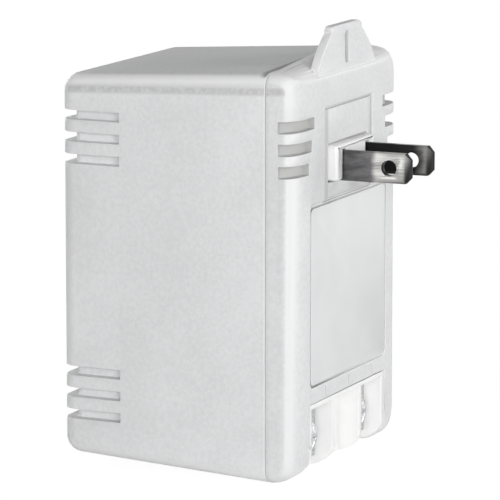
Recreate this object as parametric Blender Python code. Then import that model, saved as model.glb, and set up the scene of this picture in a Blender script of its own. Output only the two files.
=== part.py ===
"""Plug-in AC transformer: two welded shells, blades, terminals and the wound core inside.

Metres, +Z up. The wall side faces -Y. Every piece is modelled with the wall plane at Y = 0
and the depth into the body along +Y; one empty then centres the whole depth on the origin.
"""
import math

import bmesh
import bpy
from mathutils import Vector

MM = 0.001

# Body
body_width = 58.5 * MM
body_height = 85.5 * MM
body_depth = 54.2 * MM
cover_depth = 6.6 * MM
wall = 2.6 * MM
side_draft = 2.0 * MM
end_draft = 2.5 * MM
edge_radius = 3.5 * MM
rear_radius = 3.4 * MM

# Clearances
fit_gap = 0.3 * MM
seam_gap = 0.3 * MM
seam_chamfer = 0.25 * MM

# Rolled edges of the front cover: how far each reaches over the face, and how deep
side_roll = 7.0 * MM
side_roll_depth = 2.9 * MM
low_roll = 5.5 * MM
low_roll_depth = 6.2 * MM
top_roll = 4.0 * MM
top_roll_depth = 6.0 * MM
corner_growth = 1.5 * MM
tongue_length = 3.0 * MM
tongue_thickness = 1.3 * MM
inner_chamfer = 1.5 * MM

# Securing tab and the buttress behind it; margins are measured from the body's sides
tab_rise = 7.65 * MM
tab_top_half = 8.0 * MM
tab_base_margin = 12.75 * MM
tab_root = 4.2 * MM
tab_thickness = 2.0 * MM
tab_setback = 0.6 * MM
tab_corner = 1.3 * MM
tab_flare = 1.75
slot_width = 2.0 * MM
slot_length = 6.5 * MM
slot_corner = 0.9 * MM
slot_below_top = 0.5 * MM
buttress_rise = 1.9 * MM
buttress_margin = 3.25 * MM
buttress_rim = 1.6 * MM
buttress_toe_depth = 1.5 * MM
buttress_bite = 0.05 * MM

# Recess round the blades, and the label panel under it
recess_half = 13.2 * MM
recess_below = 7.0 * MM
recess_above = 12.8 * MM
recess_depth = 0.4 * MM
moat_width = 0.6 * MM
moat_depth = 0.9 * MM
panel_margin = 8.25 * MM
panel_gap = 0.5 * MM
panel_corner = 1.6 * MM
panel_overlap = 0.4 * MM
label_thickness = 0.2 * MM
label_sunk = 0.05 * MM
label_border = 0.5 * MM

# Grip grooves
groove_count = 3
groove_first = 11.0 * MM
groove_pitch = 4.62 * MM
groove_height = 2.0 * MM
case_groove_depth = 2.4 * MM
case_groove_side = 13.9 * MM
case_groove_back = 10.0 * MM
groove_backing = 1.6 * MM
groove_floor_radius = 1.4 * MM
cover_groove_height = 2.4 * MM
cover_groove_depth = 1.5 * MM
cover_groove_corner = 5.6 * MM
cover_groove_side = 2.2 * MM
cover_groove_length = 10.4 * MM
cover_groove_step = 1.45 * MM
cover_groove_wrap = 3.8 * MM

# Blades
blade_spacing = 12.7 * MM
blade_thickness = 1.52 * MM
blade_height = 6.35 * MM
blade_length = 16.6 * MM
blade_tip = 1.3 * MM
blade_tip_thickness = 0.8 * MM
blade_hole_radius = 1.6 * MM
blade_hole_from_wall = 11.7 * MM
blade_below_top = 21.3 * MM
blade_tail_height = 3.0 * MM

# Block that carries the blades
boss_half = 10.4 * MM
boss_above = 4.5 * MM
boss_below = 3.0 * MM
boss_proud = 1.5 * MM
boss_edge = 0.4 * MM
flange_margin = 3.8 * MM
flange_thickness = 3.6 * MM

# Terminal block, and the three raised ticks over it
terminal_margin = 8.85 * MM
terminal_height = 15.5 * MM
terminal_floor = 5.0 * MM
terminal_back = 9.5 * MM
terminal_rib = 1.35 * MM
terminal_rib_share = 0.368
terminal_side_wall = 1.0 * MM
terminal_top_wall = 1.0 * MM
tick_width = 0.8 * MM
tick_height = 2.2 * MM
tick_proud = 0.3 * MM
tick_gap = 0.6 * MM

# Terminal screws and plates
screw_head_radius = 3.0 * MM
screw_head_height = 1.7 * MM
screw_head_crown = 1.2 * MM
screw_shank_radius = 1.5 * MM
screw_slot_width = 0.8 * MM
screw_slot_depth = 0.8 * MM
plate_side_gap = 0.9 * MM
plate_low = 2.6 * MM
plate_top_gap = 1.6 * MM
plate_thickness = 0.8 * MM
plate_tail_width = 4.0 * MM
plate_tail_reach = 14.0 * MM

# Laminated core, in widths of an outer leg
leg_count_across = 5
leg_count_up = 6
core_side_gap = 0.45 * MM
core_drop = 0.25 * MM
core_hole_radius = 1.8 * MM
clamp_thickness = 0.8 * MM
clamp_share = 0.636
clamp_hook = 4.0 * MM

# Coil
coil_clearance = 2.7 * MM
coil_reach = 7.2 * MM
pad_thickness = 4.8 * MM
bobbin_wall = 1.2 * MM
flange_lip = 1.2 * MM
flange_corner = 1.0 * MM
tube_corner = 0.05 * MM
inner_turn_radius = 1.2 * MM
outer_turn_radius = 3.0 * MM
tape_thickness = 0.5 * MM
cutoff_radius = 2.0 * MM
cutoff_length = 9.0 * MM
cutoff_below_block = 2.5 * MM
lead_radius = 0.8 * MM
lead_drop = 5.0 * MM
lead_shares = {"left": 0.35, "right": 0.7}

# Posts and rails that hold the core in the shells
post_size = 5.0 * MM
post_beside_block = 2.3 * MM
post_over_terminals = 0.75 * MM
lead_over_terminals = 3.4 * MM
rail_width = 2.0 * MM
rail_offset = 12.0 * MM
root_bite = 1.0 * MM

# How far a cutting tool reaches past the face it opens
cut_margin = 1.0 * MM

# Fineness of round stretches
corner_steps = 6
roll_steps = 10
turn_steps = 32
small_turn_steps = 24
hole_steps = 16
small_corner_steps = 4
crown_steps = 5
buttress_steps = 4


def case_share(depth):
    return (depth - cover_depth) / (body_depth - cover_depth)


def case_side(depth):
    """Half width of the drafted rear case at a depth."""
    return body_width / 2 - side_draft * case_share(depth)


def case_low(depth):
    return end_draft * case_share(depth)


def case_high(depth):
    return body_height - end_draft * case_share(depth)


# Sizes of the shells that follow from the ones above
frame_shift = (blade_length - body_depth) / 2
case_front = cover_depth + seam_gap
inner_back = body_depth - wall
tongue_inset = wall + fit_gap
tongue_end = cover_depth + tongue_length
cover_inner = tongue_inset + tongue_thickness
tab_base_half = body_width / 2 - tab_base_margin
buttress_half = body_width / 2 - buttress_margin
blade_level = body_height - blade_below_top
recess_low = blade_level - recess_below
recess_high = blade_level + recess_above
boss_low = blade_level - boss_below
boss_high = blade_level + boss_above

# Terminals: the ticks and the label panel stand over the block
terminal_half = body_width / 2 - terminal_margin
compartment_far = terminal_half - terminal_side_wall
rib_offset = terminal_half * terminal_rib_share
rib_near = rib_offset - terminal_rib / 2
rib_far = rib_offset + terminal_rib / 2
compartment_centre = (rib_far + compartment_far) / 2
plate_width = compartment_far - rib_far - 2 * plate_side_gap
plate_high = terminal_height - terminal_top_wall - plate_top_gap
plate_back = terminal_floor - fit_gap
plate_front = plate_back - plate_thickness
screw_level = (plate_low + plate_high) / 2
screw_seat = plate_front - fit_gap
tick_low = terminal_height + fit_gap + tick_gap
panel_low = tick_low + tick_height + panel_gap
panel_half = body_width / 2 - panel_margin

# Coil and core: they fill the depth between the cover and the pad, and the width of the case
clamp_reach = fit_gap + clamp_thickness
coil_front = cover_depth + coil_clearance
coil_back = inner_back - 2 * fit_gap - pad_thickness
core_front = coil_front + coil_reach
core_back = coil_back - coil_reach
core_stack = core_back - core_front
core_depth = (core_front + core_back) / 2
core_level = body_height / 2 - core_drop
core_half_width = case_side(core_back) - wall - clamp_reach - core_side_gap
core_leg = 2 * core_half_width / leg_count_across
core_half_height = core_leg * leg_count_up / 2
clamp_width = core_stack * clamp_share
window_left = -core_half_width + core_leg
window_right = core_half_width - core_leg
tube_half_height = core_leg + fit_gap + bobbin_wall
tube_half_depth = core_stack / 2 + fit_gap + bobbin_wall
flange_half_height = 2 * core_leg - fit_gap
flange_half_depth = core_stack / 2 + coil_reach
blade_tail_reach = coil_front - fit_gap


def clear_scene():
    for item in list(bpy.data.objects):
        bpy.data.objects.remove(item, do_unlink=True)


def make_material(name, colour, roughness, metallic=0.0):
    made = bpy.data.materials.new(name)
    made.use_nodes = True
    shader = made.node_tree.nodes["Principled BSDF"]
    shader.inputs["Base Color"].default_value = (*colour, 1.0)
    shader.inputs["Roughness"].default_value = roughness
    shader.inputs["Metallic"].default_value = metallic
    made.diffuse_color = (*colour, 1.0)
    return made


def rounded_outline(left, right, low, high, radius, steps=corner_steps):
    """Points round a rectangle with rounded corners, in order, as (across, up)."""
    centres = ((right - radius, high - radius), (left + radius, high - radius),
               (left + radius, low + radius), (right - radius, low + radius))
    points = []
    for turn, (across, up) in enumerate(centres):
        for step in range(steps + 1):
            angle = math.pi / 2 * (turn + step / steps)
            points.append((across + radius * math.cos(angle), up + radius * math.sin(angle)))
    return points


def loft(mesh, rings, looped=False):
    """Skin a run of rings that all have the same number of points."""
    loops = [[mesh.verts.new(point) for point in ring] for ring in rings]
    count = len(loops[0])
    pairs = list(zip(loops, loops[1:]))
    if looped:
        pairs.append((loops[-1], loops[0]))
    for near, far in pairs:
        for index in range(count):
            after = (index + 1) % count
            mesh.faces.new((near[index], near[after], far[after], far[index]))
    if not looped:
        mesh.faces.new(loops[0])
        mesh.faces.new(loops[-1])


def prism(mesh, outline, start, end, axis):
    """Extrude a flat outline along one axis. The outline gives the other two, in X, Y, Z order."""
    def place(pair, level):
        values = list(pair)
        values.insert("XYZ".index(axis), level)
        return Vector(values)

    loft(mesh, [[place(pair, start) for pair in outline], [place(pair, end) for pair in outline]])


def box(mesh, low, high):
    outline = [(low[0], low[1]), (high[0], low[1]), (high[0], high[1]), (low[0], high[1])]
    prism(mesh, outline, low[2], high[2], "Z")


def circle(across, up, radius, steps):
    """Points round a full circle."""
    angles = [math.tau * step / steps for step in range(steps)]
    return [(across + radius * math.cos(angle), up + radius * math.sin(angle)) for angle in angles]


def make_object(name, mesh, surface=None, smooth_angle=35):
    """Turn a bmesh into an object under the frame, with its faces pointing out."""
    bmesh.ops.recalc_face_normals(mesh, faces=mesh.faces)
    data = bpy.data.meshes.new(name)
    mesh.to_mesh(data)
    mesh.free()
    data.shade_smooth()
    data.set_sharp_from_angle(angle=math.radians(smooth_angle))
    made = bpy.data.objects.new(name, data)
    bpy.context.scene.collection.objects.link(made)
    made.parent = frame
    if surface:
        data.materials.append(surface)
    return made


def apply_tool(target, mesh, operation, label):
    """Cut a hidden tool out of a piece, or add it to the piece."""
    tool = make_object(f"{target.name}_{label}", mesh)
    tool.hide_render = True
    tool.display_type = "WIRE"
    step = target.modifiers.new(label, "BOOLEAN")
    step.operation = operation
    step.solver = "EXACT"
    step.object = tool


def case_ring(depth, inset, radius):
    half = case_side(depth) - inset
    outline = rounded_outline(-half, half, case_low(depth) + inset, case_high(depth) - inset, radius)
    return [(x, depth, z) for x, z in outline]


def roll(depth, reach, roll_depth):
    """How far a quarter-ellipse edge has drawn in at a depth behind the wall plane."""
    if depth >= roll_depth:
        return 0.0
    share = 1 - depth / roll_depth
    return reach * (1 - math.sqrt(1 - share * share))


def cover_low(depth):
    return roll(depth, low_roll, low_roll_depth)


def cover_high(depth):
    return body_height - roll(depth, top_roll, top_roll_depth)


def cover_ring(depth):
    """Outline of the cover's outer face at a depth; its corners grow rounder towards the wall."""
    half = body_width / 2 - roll(depth, side_roll, side_roll_depth)
    radius = edge_radius + roll(depth, corner_growth, side_roll_depth)
    outline = rounded_outline(-half, half, cover_low(depth), cover_high(depth), radius)
    return [(x, depth, z) for x, z in outline]


def inner_ring(depth, inset):
    """Outline of the cover's tongue or of the space inside it."""
    half = body_width / 2 - inset
    outline = rounded_outline(-half, half, inset, body_height - inset, edge_radius - root_bite)
    return [(x, depth, z) for x, z in outline]


def groove_levels(from_top):
    """Centre heights of one run of grip grooves."""
    levels = [groove_first + groove_pitch * index for index in range(groove_count)]
    if from_top:
        return [body_height - level for level in levels]
    return levels


def quarter_arc(centre_x, centre_y, radius, start, turn):
    """Points along a quarter circle; turn is 1 or -1 for its sense."""
    arc = []
    for step in range(small_corner_steps + 1):
        angle = start + turn * math.pi / 2 * step / small_corner_steps
        arc.append((centre_x + radius * math.cos(angle), centre_y + radius * math.sin(angle)))
    return arc


def case_groove_plan():
    """Plan of one groove at the rear left corner, wrapped round the side and the back."""
    front = body_depth - case_groove_side
    back = body_depth - case_groove_depth
    floor_x = -case_side(back) + case_groove_depth
    radius = groove_floor_radius
    plan = [(-case_side(front) - cut_margin, front), (-case_side(front) + case_groove_depth, front)]
    plan += quarter_arc(floor_x + radius, back - radius, radius, math.pi, -1)
    inner_end = -case_side(body_depth) + case_groove_back
    plan += [(inner_end, back), (inner_end, body_depth + cut_margin),
             (-case_side(body_depth) - cut_margin, body_depth + cut_margin)]
    return plan


def groove_backing_plan():
    """Plan of the thickening inside the corner, so that the grooves leave a full wall."""
    front = body_depth - case_groove_side - wall / 2
    inset = wall + groove_backing
    bite = wall - root_bite
    inner_end = -case_side(body_depth) + case_groove_back + wall / 2
    return [(-case_side(front) + bite, front), (-case_side(front) + inset, front),
            (-case_side(body_depth - inset) + inset, body_depth - inset), (inner_end, body_depth - inset),
            (inner_end, body_depth - bite), (-case_side(body_depth) + bite, body_depth - bite)]


def make_rear_case():
    """Deep drafted cup, open at the seam, with wrapped grooves and the core's rests inside."""
    rings = []
    for step in range(corner_steps, -1, -1):
        angle = math.pi / 2 * step / corner_steps
        inset = rear_radius * (1 - math.cos(angle))
        depth = body_depth - rear_radius + rear_radius * math.sin(angle)
        rings.append(case_ring(depth, inset, edge_radius - inset))
    inner_radius = edge_radius - wall + root_bite
    rings.append(case_ring(case_front + seam_chamfer, 0.0, edge_radius))
    rings.append(case_ring(case_front, seam_chamfer, edge_radius - seam_chamfer))
    rings.append(case_ring(case_front, wall, inner_radius))
    rings.append(case_ring(inner_back - inner_radius, wall, inner_radius))
    rings.append(case_ring(inner_back, wall + inner_radius / 2, inner_radius / 2))
    shell = bmesh.new()
    loft(shell, rings)
    case = make_object("rear_case", shell, shell_plastic)

    backing = bmesh.new()
    span = groove_pitch * (groove_count - 1) / 2 + groove_height
    for from_top in (True, False):
        levels = groove_levels(from_top)
        middle = sum(levels) / groove_count
        for side in (-1, 1):
            plan = [(side * -x, y) for x, y in groove_backing_plan()]
            prism(backing, plan, middle - span, middle + span, "Z")
    apply_tool(case, backing, "UNION", "groove_backing")

    rests = bmesh.new()
    rail_front = core_depth - clamp_width / 2
    for side in (-1, 1):
        x = side * rail_offset
        low_top = core_level - core_half_height - clamp_reach - fit_gap
        high_low = core_level + core_half_height + clamp_reach + fit_gap
        box(rests, (x - rail_width / 2, rail_front, case_low(rail_front) + wall - root_bite),
            (x + rail_width / 2, core_back, low_top))
        box(rests, (x - rail_width / 2, rail_front, high_low),
            (x + rail_width / 2, core_back, case_high(core_back) - wall + root_bite))
        for level in (-1, 1):
            x = side * (core_half_width - core_leg / 2)
            z = core_level + level * (core_half_height - core_leg / 2)
            box(rests, (x - post_size / 2, core_back + fit_gap, z - post_size / 2),
                (x + post_size / 2, inner_back + root_bite, z + post_size / 2))
    apply_tool(case, rests, "UNION", "core_rests")

    grooves = bmesh.new()
    for from_top in (True, False):
        for level in groove_levels(from_top):
            for side in (-1, 1):
                plan = [(side * -x, y) for x, y in case_groove_plan()]
                prism(grooves, plan, level - groove_height / 2, level + groove_height / 2, "Z")
    apply_tool(case, grooves, "DIFFERENCE", "grooves")
    return case


def tab_outline():
    """Front view of the securing tab: rounded top corners and flanks that flare to the base."""
    top = body_height + tab_rise
    low = body_height - tab_root
    right = [(tab_base_half, low)]
    for step in range(roll_steps + 1):
        share = step / roll_steps
        x = tab_base_half + (tab_top_half - tab_base_half) * share ** tab_flare
        z = cover_high(0.0) + (top - tab_corner - cover_high(0.0)) * share
        right.append((x, z))
    right += quarter_arc(tab_top_half - tab_corner, top - tab_corner, tab_corner, 0.0, 1)[1:]
    return right + [(-x, z) for x, z in reversed(right)]


def buttress_section(x, rear, rise):
    """Section across the buttress: the cover's rolled top edge, lifted more and more towards the ridge."""
    root_level = body_height - wall
    rim_front = rear - buttress_rim
    section = [(x, rear, root_level), (x, rear, body_height + rise)]
    for step in range(buttress_steps + 1):
        share = 1 - step / buttress_steps
        depth = buttress_toe_depth + (rim_front - buttress_toe_depth) * share
        section.append((x, depth, cover_high(depth) - buttress_bite + rise * share))
    section.append((x, buttress_toe_depth, root_level))
    return section


def make_front_cover():
    """Pillowed cover with its tongue, tab, buttress, recess, label panel, grooves and notch."""
    turns = [math.pi / 2 * step / roll_steps for step in range(roll_steps + 1)]
    rings = [cover_ring(cover_depth * (1 - math.cos(turn))) for turn in turns]
    rings.append(inner_ring(cover_depth, tongue_inset))
    rings.append(inner_ring(tongue_end, tongue_inset))
    rings.append(inner_ring(tongue_end, cover_inner))
    rings.append(inner_ring(wall + inner_chamfer, cover_inner))
    rings.append(inner_ring(wall, cover_inner + inner_chamfer))
    shell = bmesh.new()
    loft(shell, rings)
    cover = make_object("front_cover", shell, shell_plastic)

    buttress = bmesh.new()
    rear = cover_depth - seam_chamfer
    sections = [buttress_section(x, rear, rise)
                for x, rise in ((-buttress_half, 0.0), (0.0, buttress_rise), (buttress_half, 0.0))]
    loft(buttress, sections)
    apply_tool(cover, buttress, "UNION", "buttress")

    tab = bmesh.new()
    prism(tab, tab_outline(), tab_setback, tab_setback + tab_thickness, "Y")
    apply_tool(cover, tab, "UNION", "tab")

    posts = bmesh.new()
    high_post = core_level + core_half_height - core_leg / 2
    low_post = terminal_height + post_over_terminals + post_size / 2
    clear_of_block = boss_half + flange_margin + post_beside_block + post_size / 2
    for side in (-1, 1):
        for z in (low_post, high_post):
            x = side * max(clear_of_block, core_half_width - core_leg / 2)
            box(posts, (x - post_size / 2, wall - root_bite, z - post_size / 2),
                (x + post_size / 2, core_front - fit_gap, z + post_size / 2))
    apply_tool(cover, posts, "UNION", "posts")

    ticks = bmesh.new()
    for column in (-1, 0, 1):
        x = column * blade_spacing
        box(ticks, (x - tick_width / 2, -tick_proud, tick_low),
            (x + tick_width / 2, wall / 2, tick_low + tick_height))
    apply_tool(cover, ticks, "UNION", "ticks")

    pocket = bmesh.new()
    box(pocket, (-recess_half, -cut_margin, recess_low), (recess_half, recess_depth, recess_high))
    apply_tool(cover, pocket, "DIFFERENCE", "recess")

    moat = bmesh.new()
    across = recess_half - moat_width
    rims = [[(x, depth, z) for x, z in
             ((-half, low), (half, low), (half, high), (-half, high))]
            for depth, half, low, high in (
                (-cut_margin, recess_half, recess_low, recess_high),
                (moat_depth, recess_half, recess_low, recess_high),
                (moat_depth, across, recess_low + moat_width, recess_high - moat_width),
                (-cut_margin, across, recess_low + moat_width, recess_high - moat_width))]
    loft(moat, rims, looped=True)
    apply_tool(cover, moat, "DIFFERENCE", "moat")

    panel = bmesh.new()
    panel_depth = label_sunk + label_thickness + fit_gap
    outline = rounded_outline(-panel_half, panel_half, panel_low, recess_low + panel_overlap,
                              panel_corner, small_corner_steps)
    prism(panel, outline, -cut_margin, panel_depth, "Y")
    apply_tool(cover, panel, "DIFFERENCE", "label_panel")

    openings = bmesh.new()
    box(openings, (-boss_half - fit_gap, -cut_margin, boss_low - fit_gap),
        (boss_half + fit_gap, wall + cut_margin, boss_high + fit_gap))
    box(openings, (-terminal_half - fit_gap, -cut_margin, -cut_margin),
        (terminal_half + fit_gap, tongue_end + cut_margin, terminal_height + fit_gap))
    slot_low = body_height - slot_below_top
    outline = rounded_outline(-slot_width / 2, slot_width / 2, slot_low, slot_low + slot_length,
                              slot_corner, small_corner_steps)
    prism(openings, outline, -cut_margin, rear - buttress_rim, "Y")
    apply_tool(cover, openings, "DIFFERENCE", "openings")

    grooves = bmesh.new()
    edge = body_width / 2
    for index, level in enumerate(groove_levels(True)):
        reach = cover_groove_length - cover_groove_step * index
        for side in (-1, 1):
            plan = [(side * (edge + cut_margin), -cut_margin), (side * (edge - reach), -cut_margin),
                    (side * (edge - reach), cover_groove_depth),
                    (side * (edge - cover_groove_corner), cover_groove_depth),
                    (side * (edge - cover_groove_side), 2 * cover_groove_depth),
                    (side * (edge - cover_groove_side / 2), cover_groove_wrap),
                    (side * (edge + cut_margin), cover_groove_wrap)]
            prism(grooves, plan, level - cover_groove_height / 2, level + cover_groove_height / 2, "Z")
    apply_tool(cover, grooves, "DIFFERENCE", "grooves")
    return cover


def make_rating_label():
    """Thin bare label, seated in its panel."""
    sheet = bmesh.new()
    half = panel_half - label_border
    outline = rounded_outline(-half, half, panel_low + label_border, recess_low - label_border,
                              panel_corner - label_border / 2, small_corner_steps)
    prism(sheet, outline, label_sunk, label_sunk + label_thickness, "Y")
    return make_object("rating_label", sheet, label_stock)


def make_blade_block():
    """Insulating block: the boss passes through the recess and a flange bears on the cover's inside."""
    def ring(depth, inset, margin=0.0):
        outline = rounded_outline(-boss_half - margin + inset, boss_half + margin - inset,
                                  boss_low - margin + inset, boss_high + margin - inset,
                                  boss_edge * 2, small_corner_steps)
        return [(x, depth, z) for x, z in outline]

    flange_front = wall + fit_gap
    flange_back = flange_front + flange_thickness
    block = bmesh.new()
    loft(block, [ring(-boss_proud, boss_edge), ring(-boss_proud + boss_edge, 0.0), ring(flange_front, 0.0),
                 ring(flange_front, 0.0, flange_margin), ring(flange_back, 0.0, flange_margin)])
    made = make_object("blade_block", block, white_plastic)
    slots = bmesh.new()
    reach = blade_height / 2 + fit_gap
    for side in (-1, 1):
        middle = side * blade_spacing / 2
        half = blade_thickness / 2 + fit_gap
        box(slots, (middle - half, -boss_proud - wall, blade_level - reach),
            (middle + half, flange_back + wall, blade_level + reach))
    apply_tool(made, slots, "DIFFERENCE", "slots")
    return made


def make_blade(name, side):
    """Flat blade with a chamfered tip, a hole and a narrower solder tail."""
    half = blade_thickness / 2
    tall = blade_height / 2
    shoulder = wall + fit_gap + flange_thickness
    tip_half = blade_tip_thickness / 2
    middle = side * blade_spacing / 2
    stations = [(-blade_length, tip_half, tall - blade_tip), (-blade_length + blade_tip, half, tall),
                (shoulder, half, tall), (shoulder + blade_thickness, half, blade_tail_height / 2),
                (blade_tail_reach, half, blade_tail_height / 2)]
    blade = bmesh.new()
    loft(blade, [[(middle - thick, depth, blade_level - high), (middle + thick, depth, blade_level - high),
                  (middle + thick, depth, blade_level + high), (middle - thick, depth, blade_level + high)]
                 for depth, thick, high in stations])
    made = make_object(name, blade, blade_metal)
    hole = bmesh.new()
    ring = circle(-blade_hole_from_wall, blade_level, blade_hole_radius, turn_steps)
    prism(hole, ring, middle - blade_thickness, middle + blade_thickness, "X")
    apply_tool(made, hole, "DIFFERENCE", "hole")
    return made


def make_terminal_block():
    """White block with three compartments, open towards the wall and downwards."""
    front = fit_gap
    lip_back = cover_depth - fit_gap
    inside_low = case_low(terminal_back) + wall + fit_gap
    profile = [(front, terminal_height), (front, cover_low(front) + fit_gap)]
    for step in range(1, corner_steps + 1):
        depth = front + (low_roll_depth - front) * step / corner_steps
        profile.append((depth, cover_low(depth) + fit_gap))
    profile += [(lip_back, fit_gap), (lip_back, inside_low), (terminal_back, inside_low),
                (terminal_back, terminal_height)]
    body = bmesh.new()
    prism(body, profile, -terminal_half, terminal_half, "X")
    block = make_object("terminal_block", body, white_plastic)

    pockets = bmesh.new()
    for left, right in ((-compartment_far, -rib_far), (-rib_near, rib_near), (rib_far, compartment_far)):
        box(pockets, (left, -cut_margin, -cut_margin),
            (right, terminal_floor, terminal_height - terminal_top_wall))
    apply_tool(block, pockets, "DIFFERENCE", "compartments")

    holes = bmesh.new()
    for side in (-1, 1):
        x = side * compartment_centre
        ring = circle(x, screw_level, screw_shank_radius + fit_gap, small_turn_steps)
        prism(holes, ring, terminal_floor - cut_margin, terminal_back + cut_margin, "Y")
        half = plate_tail_width / 2 + fit_gap
        box(holes, (x - half, terminal_floor - cut_margin, plate_high - plate_thickness - fit_gap),
            (x + half, terminal_back + cut_margin, plate_high + fit_gap))
    apply_tool(block, holes, "DIFFERENCE", "screw_and_tail_holes")
    return block


def make_terminal_plate(name, side):
    """Plate on the compartment's floor; its tail runs through the block to the inside."""
    x = side * compartment_centre
    plate = bmesh.new()
    box(plate, (x - plate_width / 2, plate_front, plate_low), (x + plate_width / 2, plate_back, plate_high))
    made = make_object(name, plate, plated_steel)
    tail = bmesh.new()
    box(tail, (x - plate_tail_width / 2, plate_front + plate_thickness / 2, plate_high - plate_thickness),
        (x + plate_tail_width / 2, plate_tail_reach, plate_high))
    apply_tool(made, tail, "UNION", "tail")
    hole = bmesh.new()
    ring = circle(x, screw_level, screw_shank_radius + fit_gap, small_turn_steps)
    prism(hole, ring, plate_front - plate_thickness, plate_back + plate_thickness, "Y")
    apply_tool(made, hole, "DIFFERENCE", "hole")
    return made


def make_terminal_screw(name, side):
    """Pan-head screw with a cross slot; the thread is left plain."""
    x = side * compartment_centre
    top = screw_seat - screw_head_height
    profile = []
    for step in range(1, crown_steps + 1):
        angle = math.pi / 2 * step / crown_steps
        profile.append((screw_head_radius * math.sin(angle), top + screw_head_crown * (1 - math.cos(angle))))
    tip = terminal_back + screw_shank_radius / 2
    profile += [(screw_head_radius, screw_seat), (screw_shank_radius, screw_seat),
                (screw_shank_radius, terminal_back), (screw_shank_radius / 2, tip)]
    turned = bmesh.new()
    loft(turned, [[(across, depth, up) for across, up in circle(x, screw_level, radius, small_turn_steps)]
                  for radius, depth in profile])
    made = make_object(name, turned, plated_steel)
    slot = bmesh.new()
    reach = screw_head_radius + fit_gap
    half = screw_slot_width / 2
    cross = [(-reach, -half), (-half, -half), (-half, -reach), (half, -reach), (half, -half), (reach, -half),
             (reach, half), (half, half), (half, reach), (-half, reach), (-half, half), (-reach, half)]
    cross = [(x + across, screw_level + up) for across, up in cross]
    prism(slot, cross, top - screw_slot_depth, top + screw_slot_depth, "Y")
    apply_tool(made, slot, "DIFFERENCE", "slot")
    return made


def core_holes(target, columns):
    holes = bmesh.new()
    for x in columns:
        for level in (-1, 1):
            z = core_level + level * (core_half_height - core_leg / 2)
            prism(holes, circle(x, z, core_hole_radius, hole_steps), core_front - core_leg,
                  core_back + core_leg, "Y")
    apply_tool(target, holes, "DIFFERENCE", "holes")


def make_core():
    """E stack and I stack, butted across a small gap, and the strap that holds them."""
    left = -core_half_width
    high = core_half_height
    back = left + core_leg
    outline = [(left, -high), (window_right, -high), (window_right, -high + core_leg),
               (back, -high + core_leg), (back, -core_leg), (window_right, -core_leg),
               (window_right, core_leg), (back, core_leg), (back, high - core_leg),
               (window_right, high - core_leg), (window_right, high), (left, high)]
    stack = bmesh.new()
    prism(stack, [(x, core_level + z) for x, z in outline], core_front, core_back, "Y")
    e_core = make_object("e_core", stack, core_steel)
    core_holes(e_core, (left + core_leg / 2,))

    bar = bmesh.new()
    box(bar, (window_right + fit_gap, core_front, core_level - high),
        (core_half_width, core_back, core_level + high))
    i_core = make_object("i_core", bar, core_steel)
    core_holes(i_core, (core_half_width - core_leg / 2,))

    inner_x = core_half_width + fit_gap
    inner_z = high + fit_gap
    outer_x = core_half_width + clamp_reach
    outer_z = high + clamp_reach
    hook = high - clamp_hook
    strap_outline = [(outer_x, -outer_z), (outer_x, -hook), (inner_x, -hook), (inner_x, -inner_z),
                     (-inner_x, -inner_z), (-inner_x, inner_z), (inner_x, inner_z), (inner_x, hook),
                     (outer_x, hook), (outer_x, outer_z), (-outer_x, outer_z), (-outer_x, -outer_z)]
    strap = bmesh.new()
    prism(strap, [(x, core_level + z) for x, z in strap_outline],
          core_depth - clamp_width / 2, core_depth + clamp_width / 2, "Y")
    make_object("core_clamp", strap, plated_steel)


def coil_ring(across, half_depth, half_height, radius):
    outline = rounded_outline(core_depth - half_depth, core_depth + half_depth,
                              core_level - half_height, core_level + half_height,
                              radius, small_corner_steps)
    return [(across, y, z) for y, z in outline]


def make_coil():
    """Bobbin with three flanges, a winding and its tape in each section."""
    left = window_left + fit_gap
    right = window_right - fit_gap
    middle = (left + right) / 2
    outer = (flange_half_depth, flange_half_height, flange_corner)
    tube = (tube_half_depth, tube_half_height, flange_corner)
    hole = (tube_half_depth - bobbin_wall, tube_half_height - bobbin_wall, tube_corner)
    path = [(left, *outer), (left + bobbin_wall, *outer), (left + bobbin_wall, *tube),
            (middle - bobbin_wall / 2, *tube), (middle - bobbin_wall / 2, *outer),
            (middle + bobbin_wall / 2, *outer), (middle + bobbin_wall / 2, *tube),
            (right - bobbin_wall, *tube), (right - bobbin_wall, *outer), (right, *outer),
            (right, *hole), (left, *hole)]
    former = bmesh.new()
    loft(former, [coil_ring(*station) for station in path], looped=True)
    make_object("bobbin", former, bobbin_nylon)

    winding_depth = flange_half_depth - flange_lip
    winding_height = flange_half_height - flange_lip
    sections = (("primary", left + bobbin_wall, middle - bobbin_wall / 2),
                ("secondary", middle + bobbin_wall / 2, right - bobbin_wall))
    for label, start, end in sections:
        near = start + fit_gap
        far = end - fit_gap
        inner = (tube_half_depth + fit_gap, tube_half_height + fit_gap, inner_turn_radius)
        outer = (winding_depth, winding_height, outer_turn_radius)
        wound = bmesh.new()
        loft(wound, [coil_ring(near, *outer), coil_ring(far, *outer), coil_ring(far, *inner),
                     coil_ring(near, *inner)], looped=True)
        make_object(f"{label}_winding", wound, enamelled_copper)
        under = (winding_depth + fit_gap, winding_height + fit_gap, outer_turn_radius + fit_gap)
        over = tuple(value + tape_thickness for value in under)
        wrap = bmesh.new()
        loft(wrap, [coil_ring(near, *over), coil_ring(far, *over), coil_ring(far, *under),
                    coil_ring(near, *under)], looped=True)
        make_object(f"{label}_tape", wrap, winding_tape)


def coil_face():
    """Depth of the tape's front face."""
    return coil_front + flange_lip - fit_gap - tape_thickness


def make_cutoff():
    """Thermal safety fuse, laid upright on the front of the primary winding."""
    x = (window_left + fit_gap) / 2
    depth = coil_face() - fit_gap - cutoff_radius
    top = boss_low - flange_margin - cutoff_below_block
    body = bmesh.new()
    prism(body, circle(x, depth, cutoff_radius, small_turn_steps), top - cutoff_length, top, "Z")
    make_object("thermal_cutoff", body, plated_steel)
    return Vector((x, depth, top))


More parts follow.
